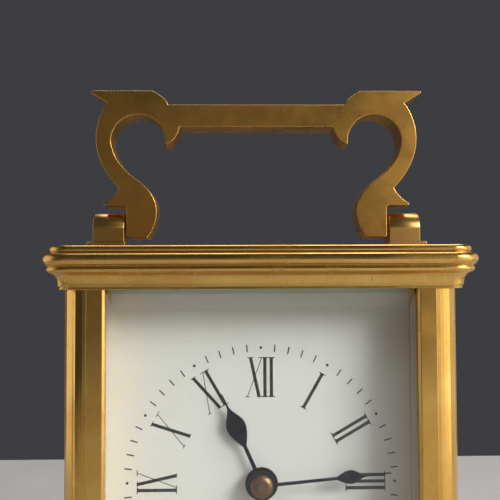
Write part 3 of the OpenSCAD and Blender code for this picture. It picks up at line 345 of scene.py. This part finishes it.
# Width of the worn edge on each node, in millimetres; the rest keep crisp edges
EDGES = {
    "case_top": 0.12, "base": 0.14, "door_frame": 0.15, "handle": 0.7,
    "pillar_front_left": 0.1, "pillar_front_right": 0.1, "pillar_rear_left": 0.1,
    "pillar_rear_right": 0.1, "handle_lug_left": 0.16, "handle_lug_right": 0.16,
    "front_plate": 0.12, "back_plate": 0.12, "platform_plate": 0.1, "balance_cock": 0.12,
    "escape_bridge": 0.08, "ratchet_bridge": 0.12, "ratchet_wheel": 0.06, "click": 0.08,
    "dial": 0.1, "hour_hand": 0.09, "minute_hand": 0.07, "barrel_arbor": 0.1,
    "front_glass": 0.05, "door_glass": 0.05, "left_glass": 0.05, "right_glass": 0.05,
    "top_glass": 0.05, "case_screws": 0.06, "movement_screws": 0.06,
    "pillar_screws": 0.06, "back_plate_screws": 0.06, "platform_screws": 0.04,
}
SHARP = math.radians(32)
FLAT = math.radians(0.4)
SEAM = 0.002 * MM
# From this width on, in millimetres, an edge is round enough to need a third segment
ROUND_EDGE = 0.3


def dress(node, material):
    """Gives a CAD node its material, joins its surfaces' seams and rounds its edges."""
    piece = NODES[node]
    for slot in piece.material_slots:
        slot.material = material
    weld = piece.modifiers.new("seams", "WELD")
    weld.merge_threshold = SEAM
    if node in EDGES:
        flat = piece.modifiers.new("flat_faces", "DECIMATE")
        flat.decimate_type = "DISSOLVE"
        flat.angle_limit = FLAT
        edge = piece.modifiers.new("worn_edges", "BEVEL")
        edge.width = EDGES[node] * MM
        edge.segments = 3 if EDGES[node] > ROUND_EDGE else 2
        edge.limit_method = "ANGLE"
        edge.angle_limit = SHARP
        edge.use_clamp_overlap = True
        edge.harden_normals = True


for finish, names in FINISHES.items():
    for node in names:
        dress(node, finish)


# ---- Dial markings ----

DIAL_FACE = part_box("dial")[0].y
CENTRE_Z = middle(*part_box("hand_collet"))
PAINT = 0.02 * MM

# Sizes on the dial, in millimetres: radii first, then the strokes of a numeral
NUMERAL_OUT = 23.7
NUMERAL_IN = 16.2
MINUTE_OUT = 26.3
MINUTE_IN = 24.85
MINUTE_DOT_AT = 25.6
MINUTE_DOT = 0.27
MINUTE_LINE = 0.24
BAR = 0.62
HAIR = 0.14
SERIF = 0.42
FILLET_WIDE = 0.2
FILLET_HIGH = 0.3

# Half the slant of an X's thick stroke, and how far its thin stroke reaches each way
LEAN = 0.82
THIN_OUT = 1.35
THIN_IN = 1.45
# The two strokes of a V, from its middle
V_LEAN = 1.02
V_FOOT = 0.25
V_THIN_FOOT = 0.3
# From one letter to the next: two bars, a bar beside a slanting letter, two such letters
BAR_STEP = 1.24
MIXED_STEP = 1.95
SLANT_STEP = 3.2


class Paint:
    """Flat shapes on the dial's face, given in millimetres round its centre."""

    def __init__(self):
        self.points = []
        self.faces = []

    def shape(self, outline, turn=0.0):
        """A convex outline, counter-clockwise, turned clockwise about the centre."""
        c, s = math.cos(turn), math.sin(turn)
        first = len(self.points)
        n = len(outline)
        for y in (DIAL_FACE - PAINT, DIAL_FACE + PAINT):
            for u, v in outline:
                self.points.append((MM * (u * c + v * s), y, CENTRE_Z + MM * (v * c - u * s)))
        self.faces.append([first + i for i in range(n)])
        self.faces.append([first + n + i for i in reversed(range(n))])
        for i in range(n):
            j = (i + 1) % n
            self.faces.append([first + j, first + i, first + n + i, first + n + j])

    def line(self, a, b, width, turn):
        """A straight stroke from a to b."""
        dx, dy = b[0] - a[0], b[1] - a[1]
        half = width / 2 / math.hypot(dx, dy)
        nx, ny = -dy * half, dx * half
        self.shape([(a[0] - nx, a[1] - ny), (b[0] - nx, b[1] - ny),
                    (b[0] + nx, b[1] + ny), (a[0] + nx, a[1] + ny)], turn)

    def dot(self, at, radius, turn):
        steps = 20
        self.shape([(at[0] + radius * math.cos(2 * math.pi * i / steps),
                     at[1] + radius * math.sin(2 * math.pi * i / steps))
                    for i in range(steps)], turn)

    def piece(self, name):
        mesh = bpy.data.meshes.new(name)
        mesh.from_pydata(self.points, [], self.faces)
        mesh.materials.append(dial_black)
        made = bpy.data.objects.new(name, mesh)
        bpy.context.scene.collection.objects.link(made)
        return made


def bar(paint, x, turn):
    """An upright stroke with a short hairline across each end."""
    paint.line((x, NUMERAL_IN), (x, NUMERAL_OUT), BAR, turn)
    for end, inward in ((NUMERAL_IN, 1), (NUMERAL_OUT, -1)):
        paint.line((x - SERIF - BAR / 2, end), (x + SERIF + BAR / 2, end), HAIR, turn)
        for side in (-1, 1):
            edge = x + side * BAR / 2
            corner = [(edge, end), (edge + side * FILLET_WIDE, end),
                      (edge, end + inward * FILLET_HIGH)]
            paint.shape(corner if side * inward > 0 else corner[::-1], turn)


def slant(paint, x_out, x_in, width, turn):
    """A slanting stroke with a hairline across its outer end."""
    paint.line((x_out, NUMERAL_OUT), (x_in, NUMERAL_IN), width, turn)
    reach = SERIF + FILLET_WIDE
    paint.line((x_out - reach, NUMERAL_OUT), (x_out + reach, NUMERAL_OUT), HAIR, turn)


def letter_x(paint, x, turn):
    slant(paint, x - LEAN, x + LEAN, BAR, turn)
    slant(paint, x + THIN_OUT, x - THIN_IN, HAIR, turn)
    for foot in (x - THIN_IN, x + LEAN):
        paint.line((foot - SERIF, NUMERAL_IN), (foot + SERIF, NUMERAL_IN), HAIR, turn)


def letter_v(paint, x, turn):
    slant(paint, x - V_LEAN, x + V_FOOT, BAR, turn)
    slant(paint, x + THIN_OUT, x + V_THIN_FOOT, HAIR, turn)


LETTERS = {"I": bar, "X": letter_x, "V": letter_v}


def numeral(paint, letters, turn):
    """Roman letters side by side, centred on their thick strokes, feet to the centre."""
    places = [0.0]
    for pair in zip(letters, letters[1:]):
        step = BAR_STEP if pair == ("I", "I") else MIXED_STEP if "I" in pair else SLANT_STEP
        places.append(places[-1] + step)
    low = places[0] - (LEAN if letters[0] != "I" else 0)
    high = places[-1] + (LEAN if letters[-1] == "X" else 0)
    for letter, place in zip(letters, places):
        LETTERS[letter](paint, place - (low + high) / 2, turn)


def dial_markings():
    hours = ["XII", "I", "II", "III", "IIII", "V", "VI", "VII", "VIII", "IX", "X", "XI"]
    numerals = Paint()
    for i, letters in enumerate(hours):
        numeral(numerals, letters, 2 * math.pi * i / 12)
    minutes = Paint()
    for i in range(60):
        turn = 2 * math.pi * i / 60
        if i % 5:
            minutes.line((0, MINUTE_IN), (0, MINUTE_OUT), MINUTE_LINE, turn)
        else:
            minutes.dot((0, MINUTE_DOT_AT), MINUTE_DOT, turn)
    return [numerals.piece("dial_numerals"), minutes.piece("dial_minute_track")]


for markings in dial_markings():
    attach(markings, "root")


# ---- Floor, light and camera ----

HEART = Vector((0, 0, 0.09))


def add_floor():
    """A pale slab under the clock, with its top at the level the clock rests on."""
    half, front, back, thick = 0.32, 1.1, 0.26, 0.02
    corners = [(-half, -front), (half, -front), (half, back), (-half, back)]
    points = [(x, y, z) for z in (-thick, 0.0) for x, y in corners]
    faces = [(3, 2, 1, 0), (4, 5, 6, 7)] + [
        (i, (i + 1) % 4, 4 + (i + 1) % 4, 4 + i) for i in range(4)]
    mesh = bpy.data.meshes.new("floor")
    mesh.from_pydata(points, [], faces)
    mesh.materials.append(plain_floor("floor_finish"))
    floor = bpy.data.objects.new("floor", mesh)
    bpy.context.scene.collection.objects.link(floor)


def add_light(name, at, size, watts, colour):
    """A soft rectangular lamp at a place in metres, turned towards the clock."""
    lamp = bpy.data.lights.new(name, "AREA")
    lamp.shape = "RECTANGLE"
    lamp.size, lamp.size_y = size
    lamp.energy = watts
    lamp.color = colour
    holder = bpy.data.objects.new(name, lamp)
    holder.location = at
    holder.rotation_euler = (HEART - Vector(at)).to_track_quat("-Z", "Y").to_euler()
    bpy.context.scene.collection.objects.link(holder)


def add_world(colour):
    world = bpy.data.worlds.new("room")
    world.use_nodes = True
    world.node_tree.nodes["Background"].inputs["Color"].default_value = colour
    bpy.context.scene.world = world


CAMERA_AT = Vector((-4.9, -165.8, 101.8)) * MM
# Degrees to the right, upwards and anticlockwise
CAMERA_TURN = (1.16, 2.25, -0.24)


def add_camera():
    """The photograph's viewpoint: just in front, at the height of the cornice."""
    camera = bpy.data.cameras.new("camera")
    camera.sensor_width = 36
    camera.lens = 53.28
    camera.clip_start = 0.01
    holder = bpy.data.objects.new("camera", camera)
    yaw, pitch, roll = (math.radians(a) for a in CAMERA_TURN)
    turn = (Matrix.Rotation(-yaw, 3, "Z") @ Matrix.Rotation(math.pi / 2 + pitch, 3, "X")
            @ Matrix.Rotation(roll, 3, "Z"))
    holder.matrix_world = Matrix.Translation(CAMERA_AT) @ turn.to_4x4()
    bpy.context.scene.collection.objects.link(holder)
    bpy.context.scene.camera = holder


# Each lamp's place and size in metres, power in watts and colour
LAMPS = {
    "window": ((0.563, -0.448, 0.473), (0.28, 0.26), 4.6, (1.0, 0.985, 0.95)),
    "window_wall": ((0.60, -0.45, 0.08), (0.9, 0.5), 1.35, (1.0, 0.95, 0.86)),
    "side_right": ((0.72, 0.10, 0.20), (1.2, 0.6), 1.5, (1.0, 0.95, 0.86)),
    "side_left": ((-0.62, 0.12, 0.20), (0.7, 0.6), 1.1, (1.0, 0.93, 0.84)),
    "overhead": ((0.05, 0.28, 0.60), (0.5, 0.3), 1.5, (1.0, 0.98, 0.95)),
    "room_glow": ((0.25, -1.2, 0.16), (1.8, 0.55), 0.22, (1.0, 0.74, 0.46)),
}

add_floor()
add_world((0.047, 0.048, 0.053, 1))
for lamp_name, lamp_facts in LAMPS.items():
    add_light(lamp_name, *lamp_facts)
add_camera()
bpy.context.scene.view_settings.view_transform = "Standard"
